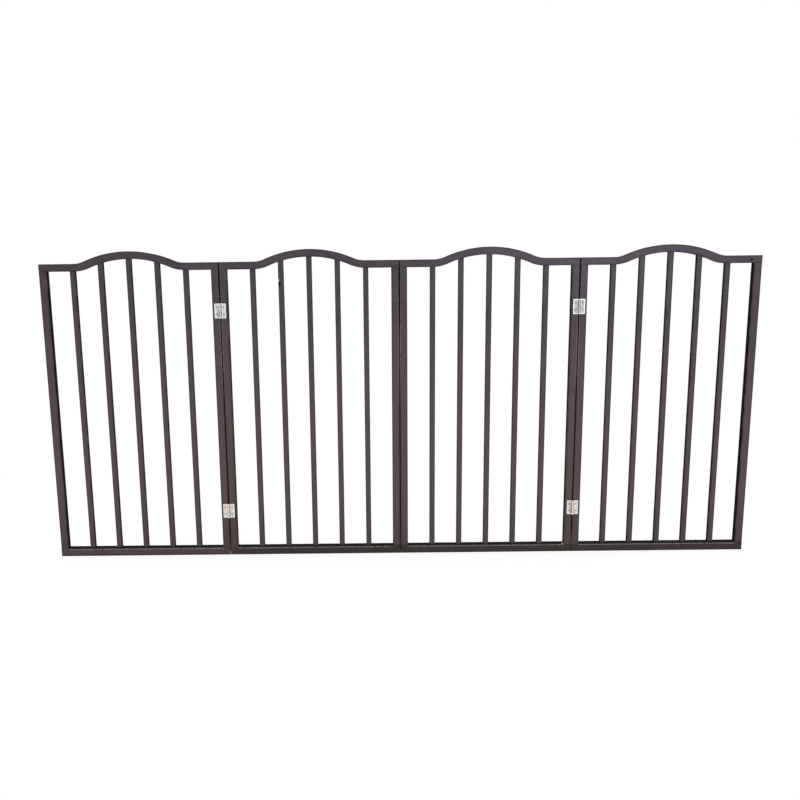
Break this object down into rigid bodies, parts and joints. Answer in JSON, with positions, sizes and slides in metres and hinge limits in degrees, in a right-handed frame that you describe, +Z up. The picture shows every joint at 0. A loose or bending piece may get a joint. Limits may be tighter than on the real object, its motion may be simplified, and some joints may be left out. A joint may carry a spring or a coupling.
{
  "type": "folding pet gate",
  "caption": "Free-standing folding pet gate: barred wooden panels with scalloped top rails, joined by steel butt hinges for an accordion fold.",
  "frame": {"origin": "on the floor, under the middle of the opened gate and the middle of its thickness", "axes": "+X along the opened gate, +Y to its back, +Z up"},
  "size_m": [1.8536, 0.0302, 0.813],
  "materials": {
    "painted_wood": "espresso satin paint",
    "dowel_wood": "bare beech",
    "hinge_steel": "bright zinc plated",
    "pin_steel": "bright zinc plated",
    "screw_steel": "bright zinc plated"
  },
  "bodies": {
    "panel_1": {"panel_1_left_stile": "painted_wood", "panel_1_right_stile": "painted_wood", "panel_1_top_rail": "painted_wood", "panel_1_bottom_rail": "painted_wood", "panel_1_bar_1": "painted_wood", "panel_1_bar_2": "painted_wood", "panel_1_bar_3": "painted_wood", "panel_1_bar_4": "painted_wood", "panel_1_bar_5": "painted_wood", "panel_1_dowels": "dowel_wood", "panel_1_hinge_screws": "screw_steel", "seam_1_lower_left_leaf": "hinge_steel", "seam_1_upper_left_leaf": "hinge_steel"},
    "panel_2": {"panel_2_left_stile": "painted_wood", "panel_2_right_stile": "painted_wood", "panel_2_top_rail": "painted_wood", "panel_2_bottom_rail": "painted_wood", "panel_2_bar_1": "painted_wood", "panel_2_bar_2": "painted_wood", "panel_2_bar_3": "painted_wood", "panel_2_bar_4": "painted_wood", "panel_2_bar_5": "painted_wood", "panel_2_dowels": "dowel_wood", "panel_2_hinge_screws": "screw_steel", "seam_1_lower_right_leaf": "hinge_steel", "seam_1_upper_right_leaf": "hinge_steel", "seam_1_hinge_pins": "pin_steel", "seam_2_lower_left_leaf": "hinge_steel", "seam_2_upper_left_leaf": "hinge_steel", "seam_2_hinge_pins": "pin_steel"},
    "panel_3": {"panel_3_left_stile": "painted_wood", "panel_3_right_stile": "painted_wood", "panel_3_top_rail": "painted_wood", "panel_3_bottom_rail": "painted_wood", "panel_3_bar_1": "painted_wood", "panel_3_bar_2": "painted_wood", "panel_3_bar_3": "painted_wood", "panel_3_bar_4": "painted_wood", "panel_3_bar_5": "painted_wood", "panel_3_dowels": "dowel_wood", "panel_3_hinge_screws": "screw_steel", "seam_2_lower_right_leaf": "hinge_steel", "seam_2_upper_right_leaf": "hinge_steel", "seam_3_lower_left_leaf": "hinge_steel", "seam_3_upper_left_leaf": "hinge_steel", "seam_3_hinge_pins": "pin_steel"},
    "panel_4": {"panel_4_left_stile": "painted_wood", "panel_4_right_stile": "painted_wood", "panel_4_top_rail": "painted_wood", "panel_4_bottom_rail": "painted_wood", "panel_4_bar_1": "painted_wood", "panel_4_bar_2": "painted_wood", "panel_4_bar_3": "painted_wood", "panel_4_bar_4": "painted_wood", "panel_4_bar_5": "painted_wood", "panel_4_dowels": "dowel_wood", "panel_4_hinge_screws": "screw_steel", "seam_3_lower_right_leaf": "hinge_steel", "seam_3_upper_right_leaf": "hinge_steel"}
  },
  "joints": [
    {"name": "left_fold", "type": "hinge", "parent": "panel_2", "child": "panel_1", "pos_m": [-0.4635, -0.01205, 0.3915], "axis": [0, 0, 1], "range_deg": [0, 180]},
    {"name": "middle_fold", "type": "hinge", "parent": "panel_2", "child": "panel_3", "pos_m": [0, 0.01205, 0.3915], "axis": [0, 0, 1], "range_deg": [0, 180]},
    {"name": "right_fold", "type": "hinge", "parent": "panel_3", "child": "panel_4", "pos_m": [0.4635, -0.01205, 0.3915], "axis": [0, 0, -1], "range_deg": [0, 180]}
  ]
}
